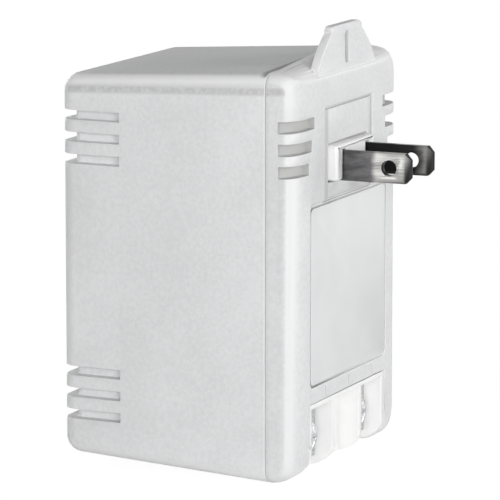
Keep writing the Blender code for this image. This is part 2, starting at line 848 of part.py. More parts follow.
def make_pad():
    """Foam pad between the coil and the rear wall."""
    pad = bmesh.new()
    half_wide = tube_half_depth
    half_high = flange_half_height - core_leg / 2
    box(pad, (-half_wide, coil_back + fit_gap, core_level - half_high),
        (half_wide, inner_back - fit_gap, core_level + half_high))
    make_object("core_pad", pad, foam)


def make_lead(name, points, surface):
    """Insulated inner wire along a smooth curve through the given points."""
    curve = bpy.data.curves.new(name, "CURVE")
    curve.dimensions = "3D"
    curve.resolution_u = 6
    curve.bevel_depth = lead_radius
    curve.bevel_resolution = 2
    curve.use_fill_caps = True
    spline = curve.splines.new("BEZIER")
    spline.bezier_points.add(len(points) - 1)
    for knot, point in zip(spline.bezier_points, points):
        knot.co = point
        knot.handle_left_type = "AUTO"
        knot.handle_right_type = "AUTO"
    curve.materials.append(surface)
    made = bpy.data.objects.new(name, curve)
    bpy.context.scene.collection.objects.link(made)
    made.parent = frame


def make_leads(cutoff_top):
    """Two wires from the blades to the primary, two from the secondary to the terminals."""
    beside_tail = blade_spacing / 2 + blade_thickness / 2 + fit_gap + lead_radius
    tail_depth = blade_tail_reach - 2 * lead_radius
    cross_depth = coil_front - fit_gap - lead_radius
    face_depth = coil_face() - fit_gap - lead_radius
    make_lead("primary_lead_left", [
        (-beside_tail, tail_depth, blade_level), (-beside_tail, cross_depth, blade_level - lead_drop),
        (cutoff_top.x, cutoff_top.y, cutoff_top.z + fit_gap)], black_wire)
    make_lead("primary_lead_right", [
        (beside_tail, tail_depth, blade_level), (beside_tail, cross_depth, blade_level - lead_drop),
        (beside_tail / 2, cross_depth, blade_level - 2 * lead_drop),
        (-window_right / 4, face_depth, blade_level - 3 * lead_drop)], white_wire)
    tail_top = plate_high + fit_gap + lead_radius
    start_depth = plate_tail_reach - 2 * lead_radius
    coil_low = core_level - flange_half_height
    over_block = terminal_height + lead_over_terminals
    for label, side in (("left", -1), ("right", 1)):
        near_middle = window_right * lead_shares[label]
        make_lead(f"secondary_lead_{label}", [
            (side * compartment_centre, start_depth, tail_top),
            (side * compartment_centre, terminal_back + 2 * lead_radius, over_block),
            (near_middle, cross_depth, coil_low + lead_radius),
            (near_middle, face_depth, coil_low + 2 * lead_drop)], secondary_wire)


clear_scene()
frame = bpy.data.objects.new("body_frame", None)
bpy.context.scene.collection.objects.link(frame)
frame.location = (0.0, frame_shift, 0.0)

shell_plastic = make_material("shell_plastic", (0.80, 0.80, 0.80), 0.5)
white_plastic = make_material("white_plastic", (0.93, 0.93, 0.92), 0.4)
label_stock = make_material("label_stock", (0.76, 0.76, 0.76), 0.45)
blade_metal = make_material("blade_metal", (0.72, 0.71, 0.69), 0.3, 1.0)
plated_steel = make_material("plated_steel", (0.62, 0.62, 0.63), 0.35, 1.0)
core_steel = make_material("core_steel", (0.22, 0.22, 0.24), 0.5, 0.8)
bobbin_nylon = make_material("bobbin_nylon", (0.85, 0.83, 0.76), 0.5)
enamelled_copper = make_material("enamelled_copper", (0.55, 0.22, 0.08), 0.35, 0.9)
winding_tape = make_material("winding_tape", (0.75, 0.55, 0.08), 0.4)
foam = make_material("foam", (0.12, 0.12, 0.13), 0.95)
black_wire = make_material("black_wire", (0.03, 0.03, 0.03), 0.5)
white_wire = make_material("white_wire", (0.85, 0.85, 0.84), 0.5)
secondary_wire = make_material("secondary_wire", (0.55, 0.06, 0.05), 0.5)

make_rear_case()
make_front_cover()
make_rating_label()
make_blade_block()
make_terminal_block()
for where, side_sign in (("left", -1), ("right", 1)):
    make_blade(f"blade_{where}", side_sign)
    make_terminal_plate(f"terminal_plate_{where}", side_sign)
    make_terminal_screw(f"terminal_screw_{where}", side_sign)
make_core()
make_coil()
make_pad()
make_leads(make_cutoff())
bpy.context.view_layer.update()
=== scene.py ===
# %% [markdown]
# # A plug-in AC transformer, dressed for its photograph
#
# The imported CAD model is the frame: it says where every piece is. This script gives each piece the shape
# detail and the finish of the real thing: moulded shells with softened edges, a bare label, drawn and
# plated blades, threaded screws, sheet-by-sheet core packs and wound coils. Nothing here moves or resizes
# the part.

# %% Load the frame
import math

import bmesh
import bpy
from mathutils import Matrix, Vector


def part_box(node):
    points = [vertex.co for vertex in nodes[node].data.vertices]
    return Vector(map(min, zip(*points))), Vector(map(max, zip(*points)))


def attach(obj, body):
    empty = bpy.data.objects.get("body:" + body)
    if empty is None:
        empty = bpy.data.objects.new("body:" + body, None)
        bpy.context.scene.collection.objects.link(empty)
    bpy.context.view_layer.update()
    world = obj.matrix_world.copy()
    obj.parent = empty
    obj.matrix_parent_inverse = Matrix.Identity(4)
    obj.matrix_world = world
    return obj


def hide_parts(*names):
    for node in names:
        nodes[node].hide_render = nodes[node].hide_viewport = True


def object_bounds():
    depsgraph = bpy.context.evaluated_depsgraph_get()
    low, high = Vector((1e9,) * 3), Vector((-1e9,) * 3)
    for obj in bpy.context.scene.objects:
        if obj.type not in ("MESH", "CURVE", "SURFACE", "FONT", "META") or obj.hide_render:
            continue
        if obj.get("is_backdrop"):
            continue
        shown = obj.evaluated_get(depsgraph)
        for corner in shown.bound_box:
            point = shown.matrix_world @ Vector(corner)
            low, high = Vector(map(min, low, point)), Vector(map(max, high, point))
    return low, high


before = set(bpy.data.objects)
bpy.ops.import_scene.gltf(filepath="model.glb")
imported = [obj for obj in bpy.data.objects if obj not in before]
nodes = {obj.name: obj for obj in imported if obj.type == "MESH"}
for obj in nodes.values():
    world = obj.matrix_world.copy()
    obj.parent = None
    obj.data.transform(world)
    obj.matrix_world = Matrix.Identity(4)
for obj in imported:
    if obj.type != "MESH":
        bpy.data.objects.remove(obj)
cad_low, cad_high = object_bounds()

MM = 0.001
scene = bpy.context.scene
print("nodes in the frame:", len(nodes))

# %% [markdown]
# ## Places that come from the frame
#
# The front of the blade block stands a known distance out of the wall side, so it gives the wall plane.
# Everything else is measured from that plane, from the floor and from the nodes' own boxes. Written like
# this, and not as fixed coordinates, the details stay with the part.

# %% Wall plane and body
boss_proud = 1.5 * MM
wall_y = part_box("blade_block")[0].y + boss_proud
case_low_corner, case_high_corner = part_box("rear_case")
seam_y = case_low_corner.y
body_height = case_high_corner.z
body_half_width = case_high_corner.x
print("wall plane at %.2f mm, body %.1f mm high" % (wall_y / MM, body_height / MM))

# %% [markdown]
# ## Camera
#
# The blades' spacing, the seam, the grooves and the edges were fitted to the photograph. It was taken
# with a long lens from the left of the wall side and a little above, so upright lines stay upright.
# A long lens from far away does the same here.

# %% Camera at the photograph's angle
camera_azimuth = math.radians(-66.45)
camera_elevation = math.radians(9.6)
camera_distance = 843.7 * MM
camera_focal = 288.0
camera_target = Vector((-6.275 * MM, wall_y + 20.0 * MM, 44.8 * MM))

camera_back = Vector((math.sin(camera_azimuth) * math.cos(camera_elevation),
                      -math.cos(camera_azimuth) * math.cos(camera_elevation),
                      math.sin(camera_elevation)))
camera_data = bpy.data.cameras.new("camera")
camera_data.sensor_width = 36.0
camera_data.lens = camera_focal
camera_data.clip_start = 0.01
camera = bpy.data.objects.new("camera", camera_data)
scene.collection.objects.link(camera)
camera.location = camera_target + camera_back * camera_distance
camera.rotation_euler = camera_back.to_track_quat("Z", "Y").to_euler()
scene.camera = camera
scene.view_settings.view_transform = "Standard"
print("camera at", [round(value, 3) for value in camera.location])

# %% [markdown]
# ## A small kit for finishes
#
# A finish is a Principled shader with nodes in front of it. Wiring nodes by hand hides the arithmetic, so
# one class wraps a socket: adding, multiplying or subtracting such values adds the Math nodes. Anything
# else comes from one method that takes the node's type, its settings and its inputs.

# %% Values and finishes
class Value:
    """An output socket that Python arithmetic works on."""

    def __init__(self, finish, socket):
        self.finish = finish
        self.socket = socket

    def maths(self, operation, *values):
        """The result of one Math node."""
        return self.finish.node("ShaderNodeMath", {"operation": operation}, list(values))

    def __add__(self, other):
        return self.maths("ADD", self, other)

    def __radd__(self, other):
        return self.maths("ADD", other, self)

    def __sub__(self, other):
        return self.maths("SUBTRACT", self, other)

    def __rsub__(self, other):
        return self.maths("SUBTRACT", other, self)

    def __mul__(self, other):
        return self.maths("MULTIPLY", self, other)

    def __rmul__(self, other):
        return self.maths("MULTIPLY", other, self)

    def __truediv__(self, other):
        return self.maths("DIVIDE", self, other)

    def __abs__(self):
        return self.maths("ABSOLUTE", self)

    def at_least(self, other):
        """The greater of the two."""
        return self.maths("MAXIMUM", self, other)

    def smooth_step(self, low, high):
        """0 below low, 1 above high, with soft ends."""
        return self.finish.node("ShaderNodeMapRange", {"interpolation_type": "SMOOTHSTEP"},
                                {"Value": self, "From Min": low, "From Max": high})

    def part(self, name):
        """One coordinate of a vector."""
        split = self.finish.node("ShaderNodeSeparateXYZ", {}, [self])
        return Value(self.finish, split.socket.node.outputs[name])


class Finish:
    """A material: its Principled shader, and the nodes that feed it."""

    def __init__(self, name, colour, roughness, metallic=0.0):
        self.material = bpy.data.materials.new(name)
        self.material.use_nodes = True
        self.tree = self.material.node_tree
        self.shader = self.tree.nodes["Principled BSDF"]
        self.shader.inputs["Base Color"].default_value = (*colour, 1.0)
        self.shader.inputs["Roughness"].default_value = roughness
        self.shader.inputs["Metallic"].default_value = metallic
        self.material.diffuse_color = (*colour, 1.0)
        self.place = self.node("ShaderNodeTexCoord", {}, [], "Object")
        self.facing = self.node("ShaderNodeTexCoord", {}, [], "Normal")

    def plug(self, target, value):
        """Link a value into a socket, or set the socket to a constant."""
        if isinstance(value, Value):
            self.tree.links.new(value.socket, target)
        elif isinstance(value, (tuple, list)) and target.type == "RGBA" and len(value) == 3:
            target.default_value = (*value, 1.0)
        else:
            target.default_value = value

    def node(self, kind, settings, inputs, output=0):
        """Any node: its settings first, then the values or links of its sockets."""
        made = self.tree.nodes.new(kind)
        for name, value in settings.items():
            setattr(made, name, value)
        pairs = inputs.items() if isinstance(inputs, dict) else enumerate(inputs)
        for name, value in pairs:
            self.plug(made.inputs[name], value)
        return Value(self, made.outputs[output])

    def stretched(self, scale):
        """Object coordinates in millimetres, squeezed or stretched along each axis."""
        factor = tuple(value / MM for value in scale)
        return self.node("ShaderNodeVectorMath", {"operation": "MULTIPLY"}, [self.place, factor])

    def noise(self, size, detail, stretch=(1.0, 1.0, 1.0), roughness=0.5):
        """Cloudy noise whose blotches are about size millimetres across."""
        where = self.stretched(tuple(value / size for value in stretch))
        inputs = {"Vector": where, "Scale": 1.0, "Detail": detail, "Roughness": roughness}
        return self.node("ShaderNodeTexNoise", {}, inputs, "Fac")

    def cells(self, size):
        """Distance to the nearest of scattered points about size millimetres apart."""
        where = self.stretched((1.0 / size, 1.0 / size, 1.0 / size))
        return self.node("ShaderNodeTexVoronoi", {}, {"Vector": where, "Scale": 1.0}, "Distance")

    def between(self, share, first, second):
        """A colour between two, by share."""
        made = self.tree.nodes.new("ShaderNodeMix")
        made.data_type = "RGBA"
        self.plug(made.inputs["Factor"], share)
        colours = [socket for socket in made.inputs if socket.type == "RGBA"]
        self.plug(colours[0], first)
        self.plug(colours[1], second)
        result = [socket for socket in made.outputs if socket.type == "RGBA"]
        return Value(self, result[0])

    def colour(self, value):
        self.plug(self.shader.inputs["Base Color"], value)

    def roughness(self, value):
        self.plug(self.shader.inputs["Roughness"], value)

    def metallic(self, value):
        self.plug(self.shader.inputs["Metallic"], value)

    def relief(self, height, depth):
        """Fine surface relief; depth is the height's full range in millimetres."""
        made = self.node("ShaderNodeBump", {}, {"Height": height, "Distance": depth * MM, "Strength": 1.0})
        self.plug(self.shader.inputs["Normal"], made)

    def slanting(self, low, high):
        """0 where the surface faces along an axis, 1 where it slants: on rounded and rolled edges."""
        straight = abs(self.facing.part("X")).at_least(abs(self.facing.part("Y")))
        straight = straight.at_least(abs(self.facing.part("Z")))
        return (1.0 - straight).smooth_step(low, high)

    def worn_edges(self, radius):
        """1 on outer and inner edges, where a rounded normal departs from the true one."""
        rounded = self.node("ShaderNodeBevel", {"samples": 4}, {"Radius": radius * MM})
        true = self.node("ShaderNodeNewGeometry", {}, [], "Normal")
        alike = self.node("ShaderNodeVectorMath", {"operation": "DOT_PRODUCT"}, [rounded, true], "Value")
        return (1.0 - alike).smooth_step(0.0, 0.12)


def scaled(colour, factor):
    """The colour, darker or lighter by a factor."""
    return tuple(min(1.0, value * factor) for value in colour)


# %% [markdown]
# ## Moulded shell plastic
#
# The two shells are injection moulded in one white plastic. The mould is lightly textured, so the surface
# has a fine grain a third of a millimetre across, and the flow of the plastic leaves it very slightly
# uneven over centimetres. In the photograph the open faces are mottled grey and every rounded edge is
# clearly lighter. So the colour starts from the mottling, and a painted highlight lightens it where the
# surface slants, most where it faces upwards; there the roughness is also a little lower.
#
# Some places have a tone of their own. A painted texture would need an unwrapped mesh, so each gets a mask
# made from its position instead. Painted shade darkens the cover's grip grooves, the recess round the
# blades, most along its left side and in the groove round it, and the tab's slot. The buttress and the
# cover's top edge beside it get the painted highlight in full. On the case's top a painted shadow lies
# behind the cover, and both sides have a soft mottled darker line a little under the top edge.

# %% Places on the shells, from the body's top, its sides and the wall plane
top_groove_level = 11.0
groove_spacing = 4.62
top_groove_end = 10.4
groove_end_step = 1.45
cover_grooves = [(body_height - (top_groove_level + groove_spacing * index) * MM,
                  body_half_width - (top_groove_end - groove_end_step * index) * MM)
                 for index in range(3)]
cover_groove_half = 1.15 * MM
cover_groove_back = wall_y + 3.85 * MM
recess_middle = body_height - 18.4 * MM
recess_half_width = 13.3 * MM
recess_half_height = 10.0 * MM
recess_floor = wall_y + 0.35 * MM
recess_groove = wall_y + 0.45 * MM
recess_back = wall_y + 1.0 * MM
left_line_from = 10.4 * MM
left_line_to = 11.0 * MM
slot_half_width = 1.1 * MM
mottled_line_level = body_height - 3.75 * MM
top_edge_slope = 0.04
strip_widening = 3.0 * MM
mask_softness = 0.02 * MM


def in_cover_grooves(shell):
    """1 in the grip grooves of the cover: each has its own height and its own inner end."""
    height = shell.place.part("Z")
    across = abs(shell.place.part("X"))
    inside = 0.0
    for level, inner_end in cover_grooves:
        band = 1.0 - abs(height - level).smooth_step(cover_groove_half, cover_groove_half * 1.1)
        inside = inside + band * across.smooth_step(inner_end - 0.05 * MM, inner_end)
    at_front = 1.0 - shell.place.part("Y").smooth_step(cover_groove_back, cover_groove_back + 0.1 * MM)
    return inside * at_front


def in_box(finish, low, high):
    """1 inside a box given by two corners, 0 outside it."""
    inside = 1.0
    for axis, least, most in zip("XYZ", low, high):
        value = finish.place.part(axis)
        inside = inside * value.smooth_step(least, least + mask_softness)
        inside = inside * (1.0 - value.smooth_step(most - mask_softness, most))
    return inside


def recess_painted_shade(shell):
    """Painted shade: low on the floor of the recess, higher along its left side and in the groove round it.
    """
    inside = in_box(shell, (-recess_half_width, recess_floor, recess_middle - recess_half_height),
                    (recess_half_width, recess_back, recess_middle + recess_half_height))
    leftwards = (0.0 - shell.place.part("X")).smooth_step(left_line_from, left_line_to)
    groove = shell.place.part("Y").smooth_step(recess_groove - mask_softness / 2,
                                               recess_groove + mask_softness / 2)
    return inside * ((leftwards * 0.6).at_least(groove * 0.5) + 0.1)


def in_tab_slot(shell):
    """1 in the slot of the securing tab."""
    return in_box(shell, (-slot_half_width, wall_y + 0.7 * MM, body_height - 0.6 * MM),
                  (slot_half_width, wall_y + 5.2 * MM, body_height + 6.1 * MM))


def on_cover_top(shell):
    """Where the painted highlight goes in full: 1 on the buttress and on the cover's top edge beside it."""
    return in_box(shell, (-body_half_width, wall_y + 1.2 * MM, body_height - 2.0 * MM),
                  (body_half_width, seam_y - 0.1 * MM, body_height + 2.5 * MM))


def behind_the_buttress(shell):
    """Painted shadow: 1 on the case's top next to the seam, in a strip that is wider where the buttress is
    higher.
    """
    behind = shell.place.part("Y") - seam_y
    rise = 1.0 - abs(shell.place.part("X")) / body_half_width
    strip = 1.0 - (behind - rise * strip_widening).smooth_step(0.1 * MM, 1.6 * MM)
    on_case = behind.smooth_step(-0.3 * MM, -0.2 * MM)
    return strip * on_case * shell.facing.part("Z").smooth_step(0.7, 0.9)


def under_top_edge(shell, mottling):
    """The soft mottled line along both sides, at an even distance from the drafted top edge."""
    sinking = (shell.place.part("Y") - seam_y) * top_edge_slope
    distance = abs(shell.place.part("Z") + sinking - mottled_line_level)
    line = 1.0 - distance.smooth_step(0.3 * MM, 1.2 * MM)
    return line * abs(shell.facing.part("X")).smooth_step(0.8, 0.95) * mottling


# %% Shell finish
# Colours of the painted highlight, on upright slants and on upward-facing slants.
highlight_side_colour = (0.83, 0.83, 0.83)
highlight_top_colour = (0.98, 0.98, 0.98)
# Colour of the dust on edges, of the mottled line, and of the painted shade in the grooves, the recess and
# the slot.
dust_and_shade_colour = (0.49, 0.49, 0.485)
painted_shadow_colour = (0.26, 0.26, 0.26)


def make_shell_finish(name, colour):
    shell = Finish(name, colour, roughness=0.42)
    shell.shader.inputs["Specular IOR Level"].default_value = 0.25
    grain = shell.noise(size=0.35, detail=3.0)
    speckle = shell.noise(size=0.9, detail=4.0, roughness=0.65)
    drift = shell.noise(size=14.0, detail=2.0)
    tone = drift * 0.35 + speckle * 0.65
    plain = shell.between(tone.smooth_step(0.3, 0.7), scaled(colour, 0.93), scaled(colour, 1.05))

    # Painted highlight where the surface slants and on the buttress, lighter where it faces upwards; it also
    # lowers the roughness a little.
    highlight_and_polish = shell.slanting(low=0.02, high=0.16).at_least(on_cover_top(shell))
    grooves = in_cover_grooves(shell)
    upward = shell.facing.part("Z").smooth_step(0.15, 0.65)
    highlight_tone = shell.between(upward, highlight_side_colour, highlight_top_colour)
    highlighted = shell.between(highlight_and_polish * (1.0 - grooves) * 0.85, plain, highlight_tone)

    on_edges = shell.worn_edges(radius=0.5) * speckle.smooth_step(0.45, 0.7) * 0.12
    # A soft mottled darker line a little under the top edge.
    mottled_marks = under_top_edge(shell, speckle.smooth_step(0.3, 0.6) * 0.5 + 0.25)
    # Painted shade in the recess round the blades and in the tab's slot.
    recess = recess_painted_shade(shell).at_least(in_tab_slot(shell) * 0.45)
    # Dust on edges, the mottled line, and painted shade in the grip grooves, the recess and the slot.
    dust = on_edges.at_least(grooves).at_least(recess).at_least(mottled_marks)
    dusty_and_shaded = shell.between(dust, highlighted, dust_and_shade_colour)
    # Painted shadow on the case's top behind the buttress.
    shell.colour(shell.between(behind_the_buttress(shell) * 0.85, dusty_and_shaded, painted_shadow_colour))
    shell.roughness(0.38 + grain * 0.1 + drift * 0.08 - highlight_and_polish * 0.08)
    shell.relief(grain * 0.6 + speckle * 0.4, depth=0.022)
    return shell.material


shell_plastic = make_shell_finish("shell_plastic", (0.76, 0.765, 0.77))


# %% [markdown]
# ## White insulating plastic
#
# The blade block and the terminal block are moulded in a harder, whiter and glossier plastic than the
# shells, with less grain. The colour moves only between two near whites, because a stronger pattern would
# look like dirt.

# %% Insert finish
def make_insert_finish(name, colour, grain_depth):
    insert = Finish(name, colour, roughness=0.3)
    grain = insert.noise(size=0.5, detail=2.0)
    cloud = insert.noise(size=6.0, detail=2.0)
    insert.colour(insert.between(cloud.smooth_step(0.35, 0.65), scaled(colour, 0.98), colour))
    insert.roughness(0.26 + grain * 0.12)
    insert.relief(grain, grain_depth)
    return insert.material


white_plastic = make_insert_finish("white_plastic", (0.93, 0.93, 0.925), grain_depth=0.006)


# %% [markdown]
# ## Label stock
#
# The rating label is a pale bare sheet, a touch greyer than the shell. Its satin film shows a faint
# paper-like tooth. Fine noise makes the tooth without a picture file.

# %% Label finish
def make_label_finish():
    label = Finish("label_stock", (0.73, 0.735, 0.74), roughness=0.4)
    tooth = label.noise(size=0.25, detail=4.0)
    wave = label.noise(size=9.0, detail=1.0)
    label.colour(label.between(wave.smooth_step(0.3, 0.7), (0.715, 0.72, 0.725), (0.74, 0.745, 0.75)))
    label.roughness(0.34 + tooth * 0.14)
    label.relief(tooth * 0.5 + wave * 0.5, depth=0.012)
    return label.material


label_stock = make_label_finish()


# %% [markdown]
# ## Blade metal
#
# The blades are cut from drawn brass strip and nickel plated. Drawing leaves long fine lines along the
# blade. The outlet's springs have wiped the outer half of the outer faces, which also carries a painted
# bright reflection, while the root keeps a dull skin painted dark as a painted dark reflection. The line
# between the two lies about eight millimetres from the wall. The faces that the two blades turn to each
# other, the punched ends and the inside of the hole are painted dark as painted shade, with a lighter
# painted reflection on the inner faces near the tip. Noise stretched along the blade gives the drawn
# lines, and masks from the position and the normal say where the painted reflections and shade lie.

# %% Blade finish
wipe_and_reflection_from = wall_y - 7.4 * MM
wipe_and_reflection_to = wall_y - 9.0 * MM
blade_half_height = 3.175 * MM
blade_centres_half = 6.35 * MM
blade_hole = Vector((0.0, wall_y - 11.7 * MM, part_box("blade_left")[1].z - blade_half_height))
blade_hole_radius = 1.6 * MM
scuff_waviness = 1.2 * MM


def make_blade_finish():
    blade = Finish("blade_metal", (0.62, 0.61, 0.59), roughness=0.3, metallic=1.0)
    lines = blade.noise(size=0.16, detail=3.0, stretch=(1.0, 0.03, 1.0))
    mottled_marks = blade.noise(size=1.6, detail=3.0, stretch=(1.0, 0.35, 1.0))
    depth = blade.place.part("Y") + (mottled_marks - 0.5) * scuff_waviness
    # Wiped by the springs and painted bright as a painted reflection, from about eight millimetres out from
    # the wall.
    wiped_and_reflecting = 1.0 - depth.smooth_step(wipe_and_reflection_to, wipe_and_reflection_from)
    outward = blade.facing.part("X") * blade.place.part("X") / blade_centres_half
    outer_face = outward.smooth_step(-0.25, 0.15)
    along = blade.place.part("Y") - blade_hole.y
    up = blade.place.part("Z") - blade_hole.z
    squared = along * along + up * up
    from_hole = squared.maths("SQRT", squared)
    in_hole = 1.0 - from_hole.smooth_step(blade_hole_radius * 0.98, blade_hole_radius * 1.04)
    end_face = (0.0 - blade.facing.part("Y")).smooth_step(0.1, 0.35)
    behind_hole = blade.place.part("Y").smooth_step(wall_y - 15.0 * MM, wall_y - 12.0 * MM)
    # Painted reflection, lighter, on the inner faces near the tip.
    inner_tip = (1.0 - behind_hole) * (1.0 - outer_face) * 0.5
    # Painted dark reflection at the root, and near-black painted shade on the inner faces and the punched
    # ends.
    skin_and_dark_reflection = blade.between(mottled_marks.smooth_step(0.35, 0.7), (0.10, 0.10, 0.105), (0.18, 0.178, 0.175))
    dark_skin_and_shade = blade.between(outer_face * (1.0 - end_face), (0.02, 0.02, 0.02), skin_and_dark_reflection)
    # Where the painted bright reflection goes: the wiped outer faces and the inner faces near the tip, not
    # the punched ends or the hole.
    clean = (wiped_and_reflecting * outer_face).at_least(inner_tip) * (1.0 - end_face) * (1.0 - in_hole)
    bright = blade.between(lines.smooth_step(0.3, 0.75), (0.35, 0.345, 0.335), (0.50, 0.495, 0.48))
    blade.colour(blade.between(clean, dark_skin_and_shade, bright))
    blade.roughness(0.42 - clean * 0.18 + lines * 0.1)
    blade.relief(lines * 0.7 + mottled_marks * 0.3, depth=0.006)
    return blade.material


blade_metal = make_blade_finish()


# %% [markdown]
# ## Zinc-plated steel
#
# Screws, terminal plates, the core's strap and the can of the safety fuse are plated steel: greyer than
# the blades, with small crystals that catch the light one by one. The cells of a Voronoi texture give
# such crystals, where plain noise would look like dust.

# %% Plated steel finish
def make_plated_finish():
    plated = Finish("plated_steel", (0.6, 0.605, 0.615), roughness=0.34, metallic=1.0)
    crystals = plated.cells(size=0.5)
    stain = plated.noise(size=2.2, detail=3.0)
    edges = plated.worn_edges(radius=0.12)
    base = plated.between(crystals.smooth_step(0.1, 0.6), (0.47, 0.475, 0.485), (0.66, 0.665, 0.675))
    tarnish = stain.smooth_step(0.5, 0.8) * 0.45 + edges * 0.1
    plated.colour(plated.between(tarnish, base, (0.33, 0.32, 0.30)))
    plated.roughness(0.27 + crystals * 0.16 + stain * 0.1)
    plated.relief(crystals * 0.5 + stain * 0.5, depth=0.01)
    return plated.material


plated_steel = make_plated_finish()


# %% [markdown]
# ## Finishes inside the case
#
# The core is silicon steel sheet under a thin blue-grey varnish. The wire is copper under amber enamel,
# the former is milky nylon and the tape is yellow film with the tightness marks of a wound ribbon. The
# foam pad has open cells, and the inner wires have soft vinyl jackets. One fine pattern and one coarse
# pattern are enough for each.

# %% Core, coil, tape, foam and wire finishes
def make_core_finish():
    core = Finish("core_steel", (0.2, 0.205, 0.22), roughness=0.45, metallic=0.85)
    sheets = core.noise(size=0.5, detail=2.0, stretch=(0.05, 1.0, 0.05))
    rust = core.noise(size=4.0, detail=4.0)
    spots = rust.smooth_step(0.6, 0.78)
    varnish = core.between(sheets, (0.15, 0.155, 0.17), (0.26, 0.265, 0.28))
    core.colour(core.between(spots * 0.5, varnish, (0.24, 0.11, 0.05)))
    core.metallic(0.85 - spots * 0.5)
    core.roughness(0.4 + sheets * 0.15 + spots * 0.25)
    core.relief(sheets * 0.6 + rust * 0.4, depth=0.02)
    return core.material


def make_nylon_finish():
    nylon = Finish("bobbin_nylon", (0.82, 0.8, 0.72), roughness=0.4)
    nylon.shader.inputs["Subsurface Weight"].default_value = 0.15
    nylon.shader.inputs["Subsurface Radius"].default_value = (0.001, 0.0009, 0.0007)
    cloud = nylon.noise(size=5.0, detail=3.0)
    grain = nylon.noise(size=0.4, detail=2.0)
    nylon.colour(nylon.between(cloud.smooth_step(0.3, 0.7), (0.78, 0.76, 0.68), (0.85, 0.83, 0.76)))
    nylon.roughness(0.34 + grain * 0.14)
    nylon.relief(grain, depth=0.008)
    return nylon.material


def make_copper_finish():
    copper = Finish("winding_copper", (0.62, 0.25, 0.1), roughness=0.25, metallic=0.9)
    turns = copper.noise(size=0.8, detail=2.0, stretch=(0.1, 1.0, 1.0))
    heat = copper.noise(size=6.0, detail=2.0)
    copper.colour(copper.between(heat.smooth_step(0.35, 0.7), (0.50, 0.17, 0.06), (0.68, 0.30, 0.12)))
    copper.roughness(0.2 + turns * 0.15)
    copper.relief(turns, depth=0.01)
    return copper.material


def make_tape_finish():
    tape = Finish("winding_tape", (0.78, 0.56, 0.08), roughness=0.3)
    creases = tape.noise(size=2.5, detail=4.0, stretch=(1.0, 0.25, 0.25))
    cloud = tape.noise(size=8.0, detail=2.0)
    tape.colour(tape.between(creases.smooth_step(0.3, 0.7), (0.70, 0.47, 0.05), (0.82, 0.62, 0.12)))
    tape.roughness(0.22 + creases * 0.2)
    tape.relief(creases * 0.7 + cloud * 0.3, depth=0.05)
    return tape.material


def make_foam_finish():
    foam = Finish("foam", (0.1, 0.1, 0.11), roughness=0.95)
    pores = foam.cells(size=0.7)
    coarse = foam.noise(size=2.0, detail=3.0)
    foam.colour(foam.between(pores.smooth_step(0.05, 0.5), (0.02, 0.02, 0.022), (0.15, 0.15, 0.16)))
    foam.roughness(0.85 + coarse * 0.15)
    foam.relief(pores * 0.8 + coarse * 0.2, depth=0.3)
    return foam.material


def make_jacket_finish(name, dark, light):
    jacket = Finish(name, light, roughness=0.42)
    drag = jacket.noise(size=0.5, detail=3.0)
    dust = jacket.noise(size=3.0, detail=3.0)
    jacket.colour(jacket.between(dust.smooth_step(0.35, 0.7), dark, light))
    jacket.roughness(0.38 + drag * 0.15)
    jacket.relief(drag, depth=0.01)
    return jacket.material


core_steel = make_core_finish()
bobbin_nylon = make_nylon_finish()
winding_copper = make_copper_finish()
winding_tape = make_tape_finish()
foam = make_foam_finish()
black_wire = make_jacket_finish("black_wire", (0.018, 0.018, 0.02), (0.04, 0.04, 0.042))
white_wire = make_jacket_finish("white_wire", (0.76, 0.76, 0.75), (0.85, 0.85, 0.84))
secondary_wire = make_jacket_finish("secondary_wire", (0.42, 0.035, 0.03), (0.58, 0.06, 0.05))
print("finishes made:", len(bpy.data.materials))

# %% [markdown]
# ## Finish of each piece
#
# Every node gets a finish here. The wires keep their imported mesh and only get the
# finish. Every other node is hidden by a finer piece made below.

# %% Slot and finish of each node
finish_of_node = {
    "rear_case": shell_plastic, "front_cover": shell_plastic,
    "blade_block": white_plastic, "terminal_block": white_plastic, "rating_label": label_stock,
    "blade_left": blade_metal, "blade_right": blade_metal,
    "terminal_plate_left": plated_steel, "terminal_plate_right": plated_steel,
    "terminal_screw_left": plated_steel, "terminal_screw_right": plated_steel,
    "core_clamp": plated_steel, "thermal_cutoff": plated_steel,
    "e_core": core_steel, "i_core": core_steel, "core_pad": foam, "bobbin": bobbin_nylon,
    "primary_winding": winding_copper, "secondary_winding": winding_copper,
    "primary_tape": winding_tape, "secondary_tape": winding_tape,
    "primary_lead_left": black_wire, "primary_lead_right": white_wire,
    "secondary_lead_left": secondary_wire, "secondary_lead_right": secondary_wire}
for name, piece in nodes.items():
    for held in piece.material_slots:
        held.material = finish_of_node[name]
print("nodes dressed:", len(finish_of_node))

# %% [markdown]
# ## Softened copies
#
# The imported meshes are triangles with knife-sharp edges. A real moulding, pressing or cut strip always has
# a small radius, and that radius is what catches the light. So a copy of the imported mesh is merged, its
# flat faces are joined again, and every edge sharper than a limit gets a narrow bevel. The normals are
# hardened, so the flat faces stay flat right up to the bevel. Cutting the edges keeps the copy inside the
# box of the node.
#
# A Bevel modifier can pick its edges by their angle, but then it can't leave out single corners, so here
# each edge carries a weight. Edges that are only a little blunter than the limit get no bevel and are
# marked sharp. At a thin corner a bevel would overshoot, so the last two millimetres of an edge stay
# sharp there.

# %% Tools that copy and soften
rounded_from = math.radians(32.0)
creased_from = math.radians(27.0)
flat_within = math.radians(1.0)
merged_within = 0.02 * MM
left_sharp = 2.0 * MM


